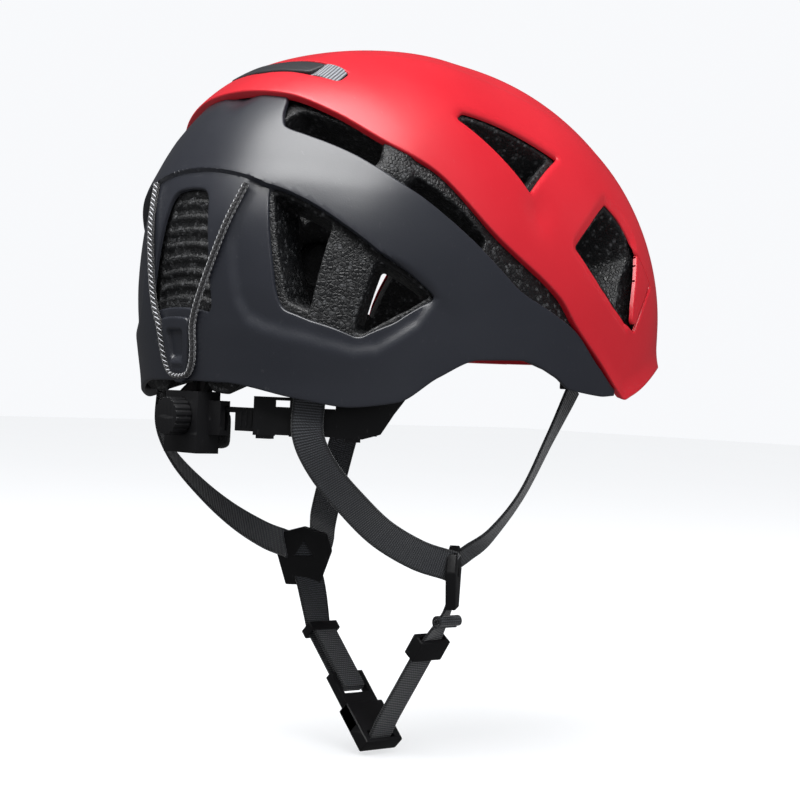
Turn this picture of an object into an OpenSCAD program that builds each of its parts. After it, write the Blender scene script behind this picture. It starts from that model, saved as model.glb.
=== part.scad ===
// Climbing helmet: two moulded shells over a foam liner, a dial-adjusted rear
// suspension and a webbing chin harness with a side release buckle.
// Frame: +Z up, the face looks along -Y, +X is the wearer's left. The origin is
// the centre of the head, level with the middle of the side vents.
//
// Points on the shells are written as [u, v]: the angle in degrees down from the
// crown, split into a sideways part u (+ to the wearer's left) and a lengthwise
// part v (+ to the rear). on() turns such a point into millimetres.

/* [Shell] */
// Half the width of the helmet
half_width = 109; // [105:1:113]
// Half the length of the helmet
half_length = 141; // [137:1:145]
// Height of the crown above the origin
crown_height = 132; // [128:1:136]
// Plastic thickness of both shells
shell_wall = 2; // [1.6:0.1:2.2]
// Thickness of the foam liner
foam_thickness = 24; // [20:1:26]

/* [Suspension] */
// Radius of the rear headband arc
band_radius = 79; // [78:0.5:80]
// Height of the headband
band_height = 11; // [10:0.5:12]
// Thickness of the headband
band_wall = 1.4; // [1.2:0.1:1.6]
// Radius of the adjuster dial
dial_radius = 9; // [8:0.5:10]
// Radius of the dial's pinion
pinion_radius = 2.6; // [2.4:0.1:2.8]

/* [Harness] */
// Width of the webbing
webbing_w = 15; // [14:0.5:15.5]
// Thickness of the webbing
webbing_t = 1.3; // [1:0.1:1.4]
// Diameter of the rear elastic cord
cord_d = 2.6; // [2.2:0.1:3]

/* [Hidden] */
$fn = 48;

shell_power = 2.34;      // roundness of the plan outline
lower_depth = 250;       // how slowly the sides curve in below the origin
red_out = 1.5;           // upper shell's outer face, from the datum surface
grey_out = -0.8;         // lower shell's outer face
foam_out = -3.2;         // liner's outer face
cut_in = 50;             // inner and outer reach of the vent cutters
cut_out = 190;
step = 5;                // degrees between the shell's grid lines

// Angle from the crown to each edge, against the heading from the rear
red_edge = [[0, 47.3], [16, 48.5], [30, 52], [42, 56.2], [54, 59.7], [72, 72.6],
    [92, 85.4], [98, 92.1], [108, 100.2], [120, 107.3], [145, 99.5], [180, 98.6]];
grey_top = [[0, 48.3], [13, 49.3], [18, 52.5], [24.8, 58.2], [33, 60.2],
    [42, 63.2], [50, 66.5], [59, 71.6], [68, 78.2], [77, 85.2], [90, 89.6],
    [98, 93.2], [108, 101.3], [118, 106.4]];
rim_edge = [[0, 105.3], [12, 105.4], [29, 108.4], [39, 110], [48, 109.4],
    [57, 104.7], [67, 101.2], [79, 101.2], [92, 105], [98, 107.8], [110, 108.4],
    [118, 107.6]];
foam_edge = [[0, 104], [20, 105.4], [39, 108.8], [48, 108.2], [57, 103.6],
    [67, 100.2], [79, 100.2], [92, 103.8], [110, 107], [120, 105.5], [145, 98.3],
    [180, 97.4]];

// Vent outlines on the wearer's left; mirrored copies make the right
upper_vent = [[38.4, 18.5], [47.5, -10.6], [59.1, 5.9], [40, 21.5]];
front_vent = [[52.2, -29.7], [71.4, -10.8], [78.6, -43], [77.5, -46.5],
    [57, -44.6], [54, -43]];
side_vent = [[23.3, 64.3], [44, 60.5], [54.4, 57.8], [72.4, 49.4], [67.9, 64],
    [61.6, 74.5], [46.9, 80.6], [38.2, 82.9], [35, 81], [28.5, 72.4]];
crown_slot = [[0, 35.2], [10, 34.9], [20.3, 35.1], [21, 38.5], [14.2, 40],
    [0, 40.8]];
rear_window = [[0, 68.6], [7.2, 68.9], [16, 91], [0, 91.2]];
clip_outline = [[59.2, -46.9], [61, -51.1], [77, -53.4], [78.6, -48.6]];
clip_clearance = [[58, -45.3], [60, -51.9], [78.4, -54.2], [79.6, -47.6]];

// Openings through the foam behind the vents
foam_upper_vent = [[39.5, 18.5], [47.3, -8], [57.3, 6], [41, 20.5]];
foam_front_vent = [[54, -30], [70.4, -13.5], [75, -42], [57.6, -42.6]];
foam_side_rear = [[25, 64.6], [41, 62], [45.5, 79.3], [38.5, 81], [30, 72]];
foam_side_front = [[56, 58.5], [70.5, 50.8], [66.8, 63.4], [60.4, 73]];
foam_gap_rear = [[16, 50.4], [17.6, 47.2], [28, 44.8], [37.2, 40.8], [39.8, 44.6],
    [38.6, 46.6], [30, 50.2], [19.5, 51.8]];
foam_gap_front = [[47.4, 39.2], [57, 33], [67.6, 26.6], [68.8, 29.6], [61, 35.4],
    [54, 39.6], [47.4, 43.2]];

// Rear elastic cord: from its upper hole down one side of the hook, on the left
cord_points = [[17.4, 66.8], [14.6, 75], [12, 84], [8.2, 92.5], [8, 98], [7.6, 101.4],
    [5, 103.4], [0, 103.8]];

band_center = [0, 48.4, -54];    // centre of the rear headband arc
dial_y = 137;                    // back face of the adjuster housing
hinge_y = 52;                    // suspension's fold axis
hinge_z = -22;
hook_w = 17.2;                     // rear cord hook, its width and inner lower edge
hook_y = 140.9;
hook_z = -30;
pin_r = 2.5;
pin_gap = 0.05;
shaft_r = 2;
hinge_x = band_radius + 2.2;     // inner face of the yoke arms
buckle_origin = [5, 14, -200];   // mouth of the buckle socket
buckle_tilt = 45.6;              // its axis below level
prong_root = -0.2;               // start of the prongs on the buckle's axis, from the mouth
prong_len = 14.7;
slider_at = [-43.94, 14, -164.07];
slider_tilt = 55.25;             // the strap's slope through the slider, from level

// Side outline of the yoke, lengthwise and height
yoke_side = [[130, -61], [86, -61], [78, -58.5], [72, -49], [62, -36], [50, -28],
    [46, -22], [50, -16], [58, -16], [66, -24], [76, -36], [88, -43], [130, -43]];
guide_angles = [27, 57];         // headband guides, degrees round from the rear
// Points of the harness on the wearer's left, top to bottom
front_route = [[80, -45, -33], [78, -31, -59], [73, -18, -87], [65, -6, -107],
    [57, 1.5, -116.5], [53, 6, -121]];
front_across = [[0.3, 0.95, 0], [0.45, 0.89, 0], [0.55, 0.83, 0.1],
    [0.62, 0.75, 0.25], [0.6, 0.6, 0.5], [0.5, 0.6, 0.62]];
rear_route = [[59.4, 107.8, -42], [59.4, 107.8, -60], [60, 98, -76], [60, 80, -92],
    [59, 60, -106], [60.5, 38, -116.5], [64, 21, -121.5], [63.4, 17, -123]];
rear_across = [[-0.7, 0.7, 0], [-0.7, 0.7, -0.05], [-0.7, 0.6, -0.37], [-0.66, 0.5, -0.57],
    [-0.55, 0.45, -0.7], [-0.4, 0.38, -0.83], [-0.25, 0.25, -0.93], [-0.2, 0.2, -0.95]];
divider_at = [58.5, 12, -128];
divider_turn = 48.7;             // the plate's outer face turns to the front

function power_of(c) = 2.1 + 0.4 * c + 0.3 * c * c;
function plan_size(d) = pow(pow(abs(d[0]) / half_width, shell_power)
    + pow(abs(d[1]) / half_length, shell_power), 1 / shell_power);
function datum_radius(d) =
    let (m = power_of(d[1] / max(norm([d[0], d[1]]), 1e-6)),
         depth = d[2] >= 0 ? crown_height : lower_depth)
    1 / pow(pow(plan_size(d), m) + pow(abs(d[2]) / depth, m), 1 / m);
function heading(u, v) =
    let (a = max(norm([u, v]), 1e-6))
    [u / a * sin(a), v / a * sin(a), cos(a)];
function on(p, offset) = heading(p[0], p[1]) * (datum_radius(heading(p[0], p[1])) + offset);
function polar(phi, a) = [-a * sin(phi), a * cos(phi)];
function unit(v) = v / norm(v);
function middle(pts) = [for (k = [0, 1]) [for (p = pts) p[k]] * [for (p = pts) 1] / len(pts)];
function flip(p) = [-p[0], p[1]];

// Two triangles for the quad a, b, c, d
function quad(a, b, c, d) = [[a, b, c], [a, c, d]];

// Closed dome from the crown down to an edge table
module dome(edge, rows, outer, inner) {
    n = 360 / step;
    side = 1 + rows * n;
    grid = [for (i = [0 : n - 1], j = [1 : rows])
        polar(i * step - 180, lookup(abs(i * step - 180), edge) * j / rows)];
    points = concat([on([0, 0], outer)], [for (g = grid) on(g, outer)],
        [on([0, 0], inner)], [for (g = grid) on(g, inner)]);
    function at(i, j) = 1 + (i % n) * rows + j - 1;
    faces = concat(
        [for (i = [0 : n - 1]) [0, at(i + 1, 1), at(i, 1)]],
        [for (i = [0 : n - 1]) [side, side + at(i, 1), side + at(i + 1, 1)]],
        [for (i = [0 : n - 1], j = [1 : rows - 1])
            each quad(at(i, j), at(i + 1, j), at(i + 1, j + 1), at(i, j + 1))],
        [for (i = [0 : n - 1], j = [1 : rows - 1])
            each quad(side + at(i, j), side + at(i, j + 1), side + at(i + 1, j + 1),
                side + at(i + 1, j))],
        [for (i = [0 : n - 1])
            each quad(at(i, rows), at(i + 1, rows), side + at(i + 1, rows),
                side + at(i, rows))]);
    polyhedron(points, faces, convexity = 6);
}

// Open band between two edge tables, from heading -reach to +reach
module band(top, bottom, reach, rows, outer, inner) {
    n = 2 * reach / 4;
    side = (n + 1) * (rows + 1);
    grid = [for (i = [0 : n], j = [0 : rows])
        let (phi = i * 4 - reach,
             a = lookup(abs(phi), top),
             b = lookup(abs(phi), bottom))
        polar(phi, a + (b - a) * j / rows)];
    points = concat([for (g = grid) on(g, outer)], [for (g = grid) on(g, inner)]);
    function at(i, j) = i * (rows + 1) + j;
    faces = concat(
        [for (i = [0 : n - 1], j = [0 : rows - 1])
            each quad(at(i, j), at(i + 1, j), at(i + 1, j + 1), at(i, j + 1))],
        [for (i = [0 : n - 1], j = [0 : rows - 1])
            each quad(side + at(i, j), side + at(i, j + 1), side + at(i + 1, j + 1),
                side + at(i + 1, j))],
        [for (i = [0 : n - 1])
            each quad(at(i, rows), at(i + 1, rows), side + at(i + 1, rows),
                side + at(i, rows))],
        [for (i = [0 : n - 1])
            each quad(at(i + 1, 0), at(i, 0), side + at(i, 0), side + at(i + 1, 0))],
        [for (j = [0 : rows - 1])
            each quad(at(0, j), at(0, j + 1), side + at(0, j + 1), side + at(0, j))],
        [for (j = [0 : rows - 1])
            each quad(at(n, j + 1), at(n, j), side + at(n, j), side + at(n, j + 1))]);
    polyhedron(points, faces, convexity = 6);
}

// Plate that follows the shell: an oval of half sizes [au, av] about a point
module oval_plate(center, au, av, outer, inner) {
    n = 24;
    rows = 3;
    side = 1 + n * rows;
    grid = [for (i = [0 : n - 1], j = [1 : rows])
        center + j / rows * [au * cos(i * 360 / n), av * sin(i * 360 / n)]];
    points = concat([on(center, outer)], [for (g = grid) on(g, outer)],
        [on(center, inner)], [for (g = grid) on(g, inner)]);
    function at(i, j) = 1 + (i % n) * rows + j - 1;
    faces = concat(
        [for (i = [0 : n - 1]) [0, at(i + 1, 1), at(i, 1)]],
        [for (i = [0 : n - 1]) [side, side + at(i, 1), side + at(i + 1, 1)]],
        [for (i = [0 : n - 1], j = [1 : rows - 1])
            each quad(at(i, j), at(i + 1, j), at(i + 1, j + 1), at(i, j + 1))],
        [for (i = [0 : n - 1], j = [1 : rows - 1])
            each quad(side + at(i, j), side + at(i, j + 1), side + at(i + 1, j + 1),
                side + at(i + 1, j))],
        [for (i = [0 : n - 1])
            each quad(at(i, rows), at(i + 1, rows), side + at(i + 1, rows),
                side + at(i, rows))]);
    polyhedron(points, faces, convexity = 4);
}

// Straight-sided prism through the shell under one triangle of an outline
module wedge(a, b, c) {
    corners = [for (p = [a, b, c], r = [cut_in, cut_out]) heading(p[0], p[1]) * r];
    hull() {
        polyhedron(corners, [[0, 2, 4], [1, 5, 3], [0, 1, 3, 2], [2, 3, 5, 4],
            [4, 5, 1, 0]]);
    }
}

// Cutter for a whole outline, as wedges about its middle
module outline_cutter(pts) {
    c = middle(pts);
    for (i = [0 : len(pts) - 1]) {
        wedge(c, pts[i], pts[(i + 1) % len(pts)]);
    }
}

module outline_pair(pts) {
    outline_cutter(pts);
    outline_cutter([for (p = pts) flip(p)]);
}

// Solid plate with a four-cornered outline that follows the shell
module quad_plate(pts, outer, inner) {
    n = 4;
    grid = [for (i = [0 : n], j = [0 : 1])
        let (t = i / n)
        (1 - j) * (pts[0] * (1 - t) + pts[3] * t) + j * (pts[1] * (1 - t) + pts[2] * t)];
    hull() {
        for (g = grid) {
            translate(on(g, (outer + inner) / 2)) cube((outer - inner) / 2, center = true);
        }
    }
}

// Flat strap along a route; across gives the direction of its width
module strap(route, across, width = webbing_w, thick = webbing_t) {
    last = len(route) - 1;
    function along(i) = unit(route[min(i + 1, last)] - route[max(i - 1, 0)]);
    function side_of(i) = unit(across[i] - (across[i] * along(i)) * along(i));
    function normal_of(i) = cross(along(i), side_of(i));
    points = [for (i = [0 : last]) each [
        route[i] - side_of(i) * width / 2 - normal_of(i) * thick / 2,
        route[i] + side_of(i) * width / 2 - normal_of(i) * thick / 2,
        route[i] + side_of(i) * width / 2 + normal_of(i) * thick / 2,
        route[i] - side_of(i) * width / 2 + normal_of(i) * thick / 2]];
    // The two broad faces share the same diagonal, so a twist keeps its thickness
    function side_quad(a, b, k) = k < 2
        ? quad(a + k, b + k, b + k + 1, a + k + 1)
        : quad(b + k, b + (k + 1) % 4, a + (k + 1) % 4, a + k);
    faces = concat(
        [for (i = [0 : last - 1], k = [0 : 3]) each side_quad(4 * i, 4 * i + 4, k)],
        quad(0, 1, 2, 3), quad(4 * last + 3, 4 * last + 2, 4 * last + 1, 4 * last));
    polyhedron(points, faces, convexity = 4);
}

// Round cord through a list of points, with twelve sides
module cord(route) {
    last = len(route) - 1;
    n = 12;
    function along(i) = unit(route[min(i + 1, last)] - route[max(i - 1, 0)]);
    function side_of(i) = unit(cross(along(i), route[i]));
    points = [for (i = [0 : last], k = [0 : n - 1])
        route[i] + cord_d / 2 * (cos(k * 360 / n) * side_of(i)
            + sin(k * 360 / n) * cross(along(i), side_of(i)))];
    function at(i, k) = i * n + k % n;
    faces = concat(
        [for (i = [0 : last - 1], k = [0 : n - 1])
            each quad(at(i, k), at(i + 1, k), at(i + 1, k + 1), at(i, k + 1))],
        [[for (k = [0 : n - 1]) k]],
        [[for (k = [n - 1 : -1 : 0]) at(last, k)]]);
    polyhedron(points, faces, convexity = 4);
}

// Upright arc plate about the headband's centre, from the rear towards side s
module arc(s, a0, a1, r0, r1, z0, z1) {
    start = s > 0 ? 90 - a1 : 90 + a0;
    translate([band_center[0], band_center[1], band_center[2] + z0])
        rotate([0, 0, start])
            rotate_extrude(angle = a1 - a0, $fn = 96)
                translate([r0, 0]) square([r1 - r0, z1 - z0]);
}

// Places children on the buckle: x along it, y across the webbing
module on_buckle() {
    translate(buckle_origin) rotate([0, 180 - buckle_tilt, 0]) mirror([0, 0, 1]) children();
}

module upper_shell() {
    color("firebrick") difference() {
        dome(red_edge, 12, red_out, red_out - shell_wall);
        outline_pair(upper_vent);
        outline_pair(front_vent);
        outline_pair(clip_clearance);
        outline_pair(crown_slot);
    }
}

module lower_shell() {
    color("darkslategray") difference() {
        band(grey_top, rim_edge, 116, 8, grey_out, grey_out - shell_wall);
        outline_pair(side_vent);
        outline_pair(rear_window);
    }
}

module foam_liner() {
    color("dimgray") difference() {
        dome(foam_edge, 12, foam_out, foam_out - foam_thickness);
        outline_pair(foam_upper_vent);
        outline_pair(foam_front_vent);
        outline_pair(foam_side_rear);
        outline_pair(foam_side_front);
        outline_pair(foam_gap_rear);
        outline_pair(foam_gap_front);
        crown_recess();
        strut_channel();
        for (s = [-1, 1]) {
            strap_passage(s);
            yoke_notch(s);
        }
    }
}

// Pocket that takes the crown puck
module crown_recess() {
    oval_plate([0, 10], 15.6, 32.7, foam_out + 6, foam_out - 10.4);
}

// Open channel at the rear for the suspension's struts
module strut_channel() {
    translate([-24, 90, -60]) cube([48, 37, 72]);
}

// Notch in the liner's lower edge for the suspension's side arms
module yoke_notch(s) {
    translate([s * 80 - 6, 38, -40]) cube([12, 46, 31]);
}

// Slots that carry the crown webbing over the liner and down inside it
module strap_passage(s) {
    strap([for (p = crown_points()) [s * p[0], p[1], p[2]]], crown_widths(), 19, 5);
}

function crown_points() = [on([0, 38], foam_out - 2.2), on([10, 38], foam_out - 2.2),
    on([19, 37.6], foam_out - 2.2), on([24, 37.4], foam_out - 8),
    on([27, 40], foam_out - 30)];
function crown_widths() = [for (i = [0 : 4]) [0, 0.8, -0.6]];

module crown_puck() {
    color("gray") difference() {
        oval_plate([0, 10], 15, 32, foam_out - 0.2, foam_out - 10);
        for (s = [-1, 1]) {
            strap_passage(s);
        }
    }
}

module crown_strap() {
    half = [on([19, 37.6], foam_out - 2), on([14, 38], foam_out - 2),
        on([7, 38], foam_out - 2), on([0, 38], foam_out - 2)];
    other = [for (i = [2 : -1 : 0]) [-half[i][0], half[i][1], half[i][2]]];
    color("slategray")
        strap(concat(half, other), [for (i = [0 : 6]) [0, 0.8, -0.6]]);
}

module rear_cord() {
    over = grey_out + cord_d / 2 + 0.3;
    half = [for (p = cord_points) on(p, over)];
    other = [for (i = [len(half) - 2 : -1 : 0]) [-half[i][0], half[i][1], half[i][2]]];
    color("black") cord(concat(half, other));
}

module cord_hook() {
    color("darkslategray") difference() {
        translate([-hook_w / 2, hook_y, hook_z]) cube([hook_w, 5.4, 20]);
        translate([-hook_w / 2 + 3, hook_y + 2, hook_z + 5]) cube([hook_w - 6, 4, 12]);
    }
}

module front_clip(s) {
    color("firebrick") quad_plate([for (p = clip_outline) [s * p[0], p[1]]],
        red_out, red_out - shell_wall);
}

module front_clip_left() {
    front_clip(1);
}

module front_clip_right() {
    front_clip(-1);
}

// Cushion lying inside the liner
module liner_pad(center, au, av) {
    inside = foam_out - foam_thickness - 0.4;
    color("black") oval_plate(center, au, av, inside, inside - 6);
}

module brow_pad() {
    liner_pad([0, -86], 34, 8);
}

module crown_pad() {
    liner_pad([0, -8], 20, 26);
}

module side_pad_left() {
    liner_pad([70, -6], 9, 16);
}

module side_pad_right() {
    liner_pad([-70, -6], 9, 16);
}

module nape_pad() {
    color("black") translate([-17, 117.2, -70]) cube([34, 6.5, 20]);
}

module adjuster_housing() {
    color("black") difference() {
        union() {
            translate([-13, 124, -71]) cube([26, dial_y - 124, 29]);
            arc(1, -14, 14, band_radius - 3, band_radius + 4, -8, 8);
        }
        arc(1, -16, 16, band_radius - band_wall - 0.4, band_radius + 0.4,
            -band_height / 2 - 0.4, band_height / 2 + 0.4);
        translate([0, 122, band_center[2]]) rotate([-90, 0, 0])
            cylinder(r = pinion_radius + 0.25, h = 7.4);
        translate([0, 122, band_center[2]]) rotate([-90, 0, 0])
            cylinder(r = shaft_r + pin_gap, h = 20);
    }
}

module adjuster_dial() {
    color("black") translate([0, dial_y + 0.3, band_center[2]]) rotate([-90, 0, 0]) {
        difference() {
            cylinder(r = dial_radius, h = 8.5);
            for (i = [0 : 17]) {
                rotate([0, 0, i * 20]) translate([dial_radius + 0.4, 0, -1])
                    cylinder(r = 0.9, h = 12, $fn = 16);
            }
        }
        translate([0, 0, -9]) cylinder(r = shaft_r, h = 10);
        translate([0, 0, -12.2]) cylinder(r = pinion_radius, h = 4);
    }
}

// Rear headband half: a strap that narrows to a rack beside the pinion
module headband(s) {
    color("black") {
        difference() {
            arc(s, -8, 68, band_radius - band_wall, band_radius, -band_height / 2,
                band_height / 2);
            cut_z = s > 0 ? [-pinion_radius - 0.3, band_height]
                : [-band_height, pinion_radius + 0.3];
            arc(s, -12, 18, band_radius - 6, band_radius + 4, cut_z[0], cut_z[1]);
        }
        for (k = [0 : 3]) {
            arc(s, 20 + k * 2, 20.8 + k * 2, band_radius - 0.1, band_radius + 0.35,
                -band_height / 2 + 2, band_height / 2 - 2);
        }
    }
}

module headband_left() {
    headband(1);
}

module headband_right() {
    headband(-1);
}

// Side frame of the suspension, with a guide round the headband and a pivot arm
module yoke(s) {
    color("black") difference() {
        union() {
            intersection() {
                arc(s, 26, 94, band_radius + 0.8, band_radius + 2.4, -14, 44);
                rotate([90, 0, 90]) linear_extrude(200, center = true) polygon(yoke_side);
            }
            for (a = guide_angles) {
                arc(s, a, a + 5, band_radius - band_wall - 2.2, band_radius + 2, -8.5, 8.5);
            }
            translate([s * (hinge_x - 0.3), hinge_y, hinge_z]) rotate([0, 90, 0])
                cylinder(r = 6, h = 2.6, center = true);
        }
        for (a = guide_angles) {
            arc(s, a - 1, a + 6, band_radius - band_wall - 0.4, band_radius + 0.5,
                -band_height / 2 - 0.4, band_height / 2 + 0.4);
        }
        for (a = [33.5 : 7.5 : 50], z = [-9.5, 6.5]) {
            arc(s, a, a + 5, band_radius, band_radius + 4, z, z + 3);
        }
        translate([s * hinge_x, hinge_y, hinge_z]) rotate([0, 90, 0])
            cylinder(r = pin_r + pin_gap, h = 12, center = true);
    }
}

module yoke_left() {
    yoke(1);
}

module yoke_right() {
    yoke(-1);
}

module strut_frame() {
    color("black") {
        for (s = [-1, 1]) {
            hull() {
                translate([s * 4, 125.6, -44]) cube([3, 2.4, 3], center = true);
                translate([s * 12, 120.4, -6]) cube([3, 2.4, 3], center = true);
            }
        }
        hull() {
            translate([-11, 121.4, -14]) cube([3, 2.2, 2.4], center = true);
            translate([11, 121.4, -14]) cube([3, 2.2, 2.4], center = true);
        }
    }
}

module yoke_pins() {
    color("black") for (s = [-1, 1]) {
        translate([s * (hinge_x + 3.8), hinge_y, hinge_z]) rotate([0, 90, 0])
            cylinder(r = pin_r, h = 11, center = true);
        translate([s * (hinge_x - 2.8), hinge_y, hinge_z]) rotate([0, 90, 0])
            cylinder(r = pin_r + 1.6, h = 1.4, center = true);
    }
}

module front_anchors() {
    color("black") for (s = [-1, 1]) {
        translate([s * 80 - 1.6, -54, -34]) cube([3.2, 18, 9]);
    }
}

module front_strap(s) {
    color("slategray") strap([for (p = front_route) [s * p[0], p[1], p[2]]],
        [for (p = front_across) [s * p[0], p[1], p[2]]]);
}

module front_strap_left() {
    front_strap(1);
}

module front_strap_right() {
    front_strap(-1);
}

module rear_strap(s) {
    color("slategray") strap([for (p = rear_route) [s * p[0], p[1], p[2]]],
        [for (p = rear_across) [s * p[0], p[1], p[2]]]);
}

module rear_strap_left() {
    rear_strap(1);
}

module rear_strap_right() {
    rear_strap(-1);
}

// Six-sided plate that joins the two upper straps to the chin strap
module divider(s) {
    color("black") translate([s * divider_at[0], divider_at[1], divider_at[2]])
        rotate([0, 0, s > 0 ? divider_turn - 90 : -90 - divider_turn])
            rotate([90, 0, 90])
                difference() {
                    translate([0, 0, -2.5]) linear_extrude(5)
                        polygon([[-15, 3], [-12, 12], [0, 15.5], [12, 12], [15, 3],
                            [9, -15.5], [-9, -15.5]]);
                    translate([0, 1, -3]) linear_extrude(6)
                        polygon([[-5, -1], [5, -1], [0, 7]]);
                }
}

module divider_left() {
    divider(1);
}

module divider_right() {
    divider(-1);
}

module chin_strap_left() {
    color("slategray") {
        strap([[56, 12.5, -143.6], [48, 13.5, -156], [41.5, 14, -165.6]],
            [[0.6, 0.8, 0], [0.3, 0.95, 0], [0, 1, 0]]);
        on_buckle() {
            for (z = [-2.1, 2.1]) {
                translate([-50, -webbing_w / 2, z - webbing_t / 2])
                    cube([37, webbing_w, webbing_t]);
            }
            translate([-13, 0, 0]) rotate([90, 0, 0])
                difference() {
                    cylinder(r = 2.1 + webbing_t / 2, h = webbing_w, center = true);
                    cylinder(r = 2.1 - webbing_t / 2, h = webbing_w + 1, center = true);
                    translate([-5, 0, 0]) cube([10, 10, webbing_w + 2], center = true);
                }
        }
    }
}

module strap_keeper() {
    color("black") on_buckle() translate([-49, 0, 0])
        difference() {
            cube([5, webbing_w + 3.6, 8.4], center = true);
            cube([6, webbing_w + 0.8, 6.2], center = true);
        }
}

module chin_strap_right() {
    color("slategray")
        strap([[-56, 12.5, -143.6], [-52.5, 13.5, -151], [-48.5, 14, -157.5],
            [-31, 14, -182.7], [-15, 14, -205.8]],
            [[-0.6, 0.8, 0], [-0.3, 0.95, 0], [0, 1, 0], [0, 1, 0], [0, 1, 0]]);
}

module strap_slider() {
    color("black") translate(slider_at) rotate([0, slider_tilt, 0])
        difference() {
            cube([12, webbing_w + 4, 7.6], center = true);
            cube([14, webbing_w + 0.8, 2.6], center = true);
        }
}

module strap_tail() {
    color("slategray") translate([-57.2, 13.5, -150]) rotate([90, 0, 0])
        cylinder(r = 3.4, h = webbing_w, center = true);
}

module buckle_male() {
    color("black") on_buckle() difference() {
        union() {
            translate([-20, -10.6, -2.4]) cube([19.4, 21.2, 4.8]);
        }
        translate([-17.8, -8.1, -3]) cube([11.2, 16.2, 6]);
    }
    color("black") on_buckle() translate([-13, 0, 0]) rotate([90, 0, 0])
        cylinder(r = 1.2, h = 17, center = true, $fn = 24);
}

module buckle_prong(s) {
    color("black") on_buckle() {
        translate([prong_root, s > 0 ? 4 : -7, -1.8]) cube([prong_len, 3, 3.6]);
        translate([6, s > 0 ? 6.8 : -9.4, -1.8]) cube([5.4, 2.6, 3.6]);
    }
}

module buckle_prong_front() {
    buckle_prong(-1);
}

module buckle_prong_rear() {
    buckle_prong(1);
}

module buckle_female() {
    color("black") on_buckle() difference() {
        translate([0, -12, -4]) cube([25, 24, 8]);
        translate([-1, -7.6, -2.3]) cube([17.4, 15.2, 4.6]);
        for (s = [-1, 1]) {
            translate([5.4, s > 0 ? 7 : -13, -2.3]) cube([6.8, 6, 4.6]);
        }
        translate([18, -8.2, -5]) cube([4.6, 16.4, 10]);
    }
}

upper_shell();
lower_shell();
foam_liner();
crown_puck();
crown_strap();
rear_cord();
cord_hook();
front_clip_left();
front_clip_right();
brow_pad();
crown_pad();
side_pad_left();
side_pad_right();
nape_pad();
adjuster_housing();
adjuster_dial();
headband_left();
headband_right();
yoke_left();
yoke_right();
strut_frame();
yoke_pins();
front_anchors();
front_strap_left();
front_strap_right();
rear_strap_left();
rear_strap_right();
divider_left();
divider_right();
chin_strap_left();
chin_strap_right();
strap_keeper();
strap_slider();
strap_tail();
buckle_male();
buckle_prong_front();
buckle_prong_rear();
buckle_female();
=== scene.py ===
"""A climbing helmet hanging in the air, built piece by piece on its CAD frame.

Lengths inside the script are millimetres until a mesh is made. +X is the wearer's left and
the front faces -Y. A heading (u, v) is a direction from the head's centre, in degrees away
from straight up; v grows towards the rear.
"""

import bmesh
import bpy
import numpy as np
from mathutils import Matrix, Vector, geometry, kdtree


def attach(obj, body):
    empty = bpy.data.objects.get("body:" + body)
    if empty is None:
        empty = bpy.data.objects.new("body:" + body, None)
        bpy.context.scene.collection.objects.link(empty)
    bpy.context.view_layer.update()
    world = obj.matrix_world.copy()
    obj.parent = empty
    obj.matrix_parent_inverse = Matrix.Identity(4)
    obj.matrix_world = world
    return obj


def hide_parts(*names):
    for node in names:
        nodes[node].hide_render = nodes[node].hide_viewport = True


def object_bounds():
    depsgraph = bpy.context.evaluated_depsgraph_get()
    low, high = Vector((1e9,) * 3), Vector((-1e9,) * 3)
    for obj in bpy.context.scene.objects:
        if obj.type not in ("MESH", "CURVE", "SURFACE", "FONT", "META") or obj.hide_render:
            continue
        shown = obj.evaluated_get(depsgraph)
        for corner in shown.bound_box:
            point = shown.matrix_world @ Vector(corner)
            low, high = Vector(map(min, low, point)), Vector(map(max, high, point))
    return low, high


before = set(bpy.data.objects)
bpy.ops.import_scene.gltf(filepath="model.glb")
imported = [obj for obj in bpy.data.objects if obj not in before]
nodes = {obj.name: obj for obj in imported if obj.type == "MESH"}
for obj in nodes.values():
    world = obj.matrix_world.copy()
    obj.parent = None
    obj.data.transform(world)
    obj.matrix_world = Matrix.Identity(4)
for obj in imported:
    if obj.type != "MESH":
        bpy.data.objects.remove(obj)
cad_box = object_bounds()

MM = 0.001
DEGREE = 2.2                # millimetres along the shell for one degree of heading
ROUND = np.array([0, 0.094, 0.357, 0.658, 1.0])     # rows of points over a rounded edge
FREE = 99.0                 # row value of a point that is not on a rounded edge
TURN = 6.2832               # one turn in radians, in materials

RED_EDGE = [[0, 47.3], [16, 48.5], [30, 52], [42, 56.2], [54, 59.7], [72, 72.6], [92, 85.4],
            [98, 92.1], [108, 100.2], [116.5, 106.5], [119.5, 108], [123, 106.8], [145, 99],
            [180, 98.4]]
GREY_TOP = [[0, 46], [13, 47], [16.6, 48.6], [17.8, 52.5], [20, 55.8], [25, 57.2], [30, 58.4],
            [36, 60.1], [41, 62], [46.4, 64.4], [52, 66.9], [59.3, 71], [66.6, 75.6],
            [72.7, 80], [79, 84.4], [90, 89], [98, 93], [108, 101.2], [118, 106.4]]
RIM_EDGE = [[0, 105.3], [12, 105.4], [29, 108.4], [39, 110], [48, 109.4], [57, 104.7],
            [67, 101.2], [79, 101.2], [92, 105], [98, 107.8], [110, 108.4], [118, 107.6]]
FOAM_EDGE = [[0, 104], [5, 104.4], [8, 107.4], [12, 107.8], [15.5, 105.8], [20, 105.4],
             [39, 108.8], [48, 108.2], [57, 103.6], [67, 100.2], [79, 100.2],
             [92, 103.8], [110, 107], [120, 105.5], [145, 98.3], [180, 97.4]]
UPPER_VENT = [[38.4, 18.5], [47.5, -10.6], [59.1, 5.9], [40, 21.5]]
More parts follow.
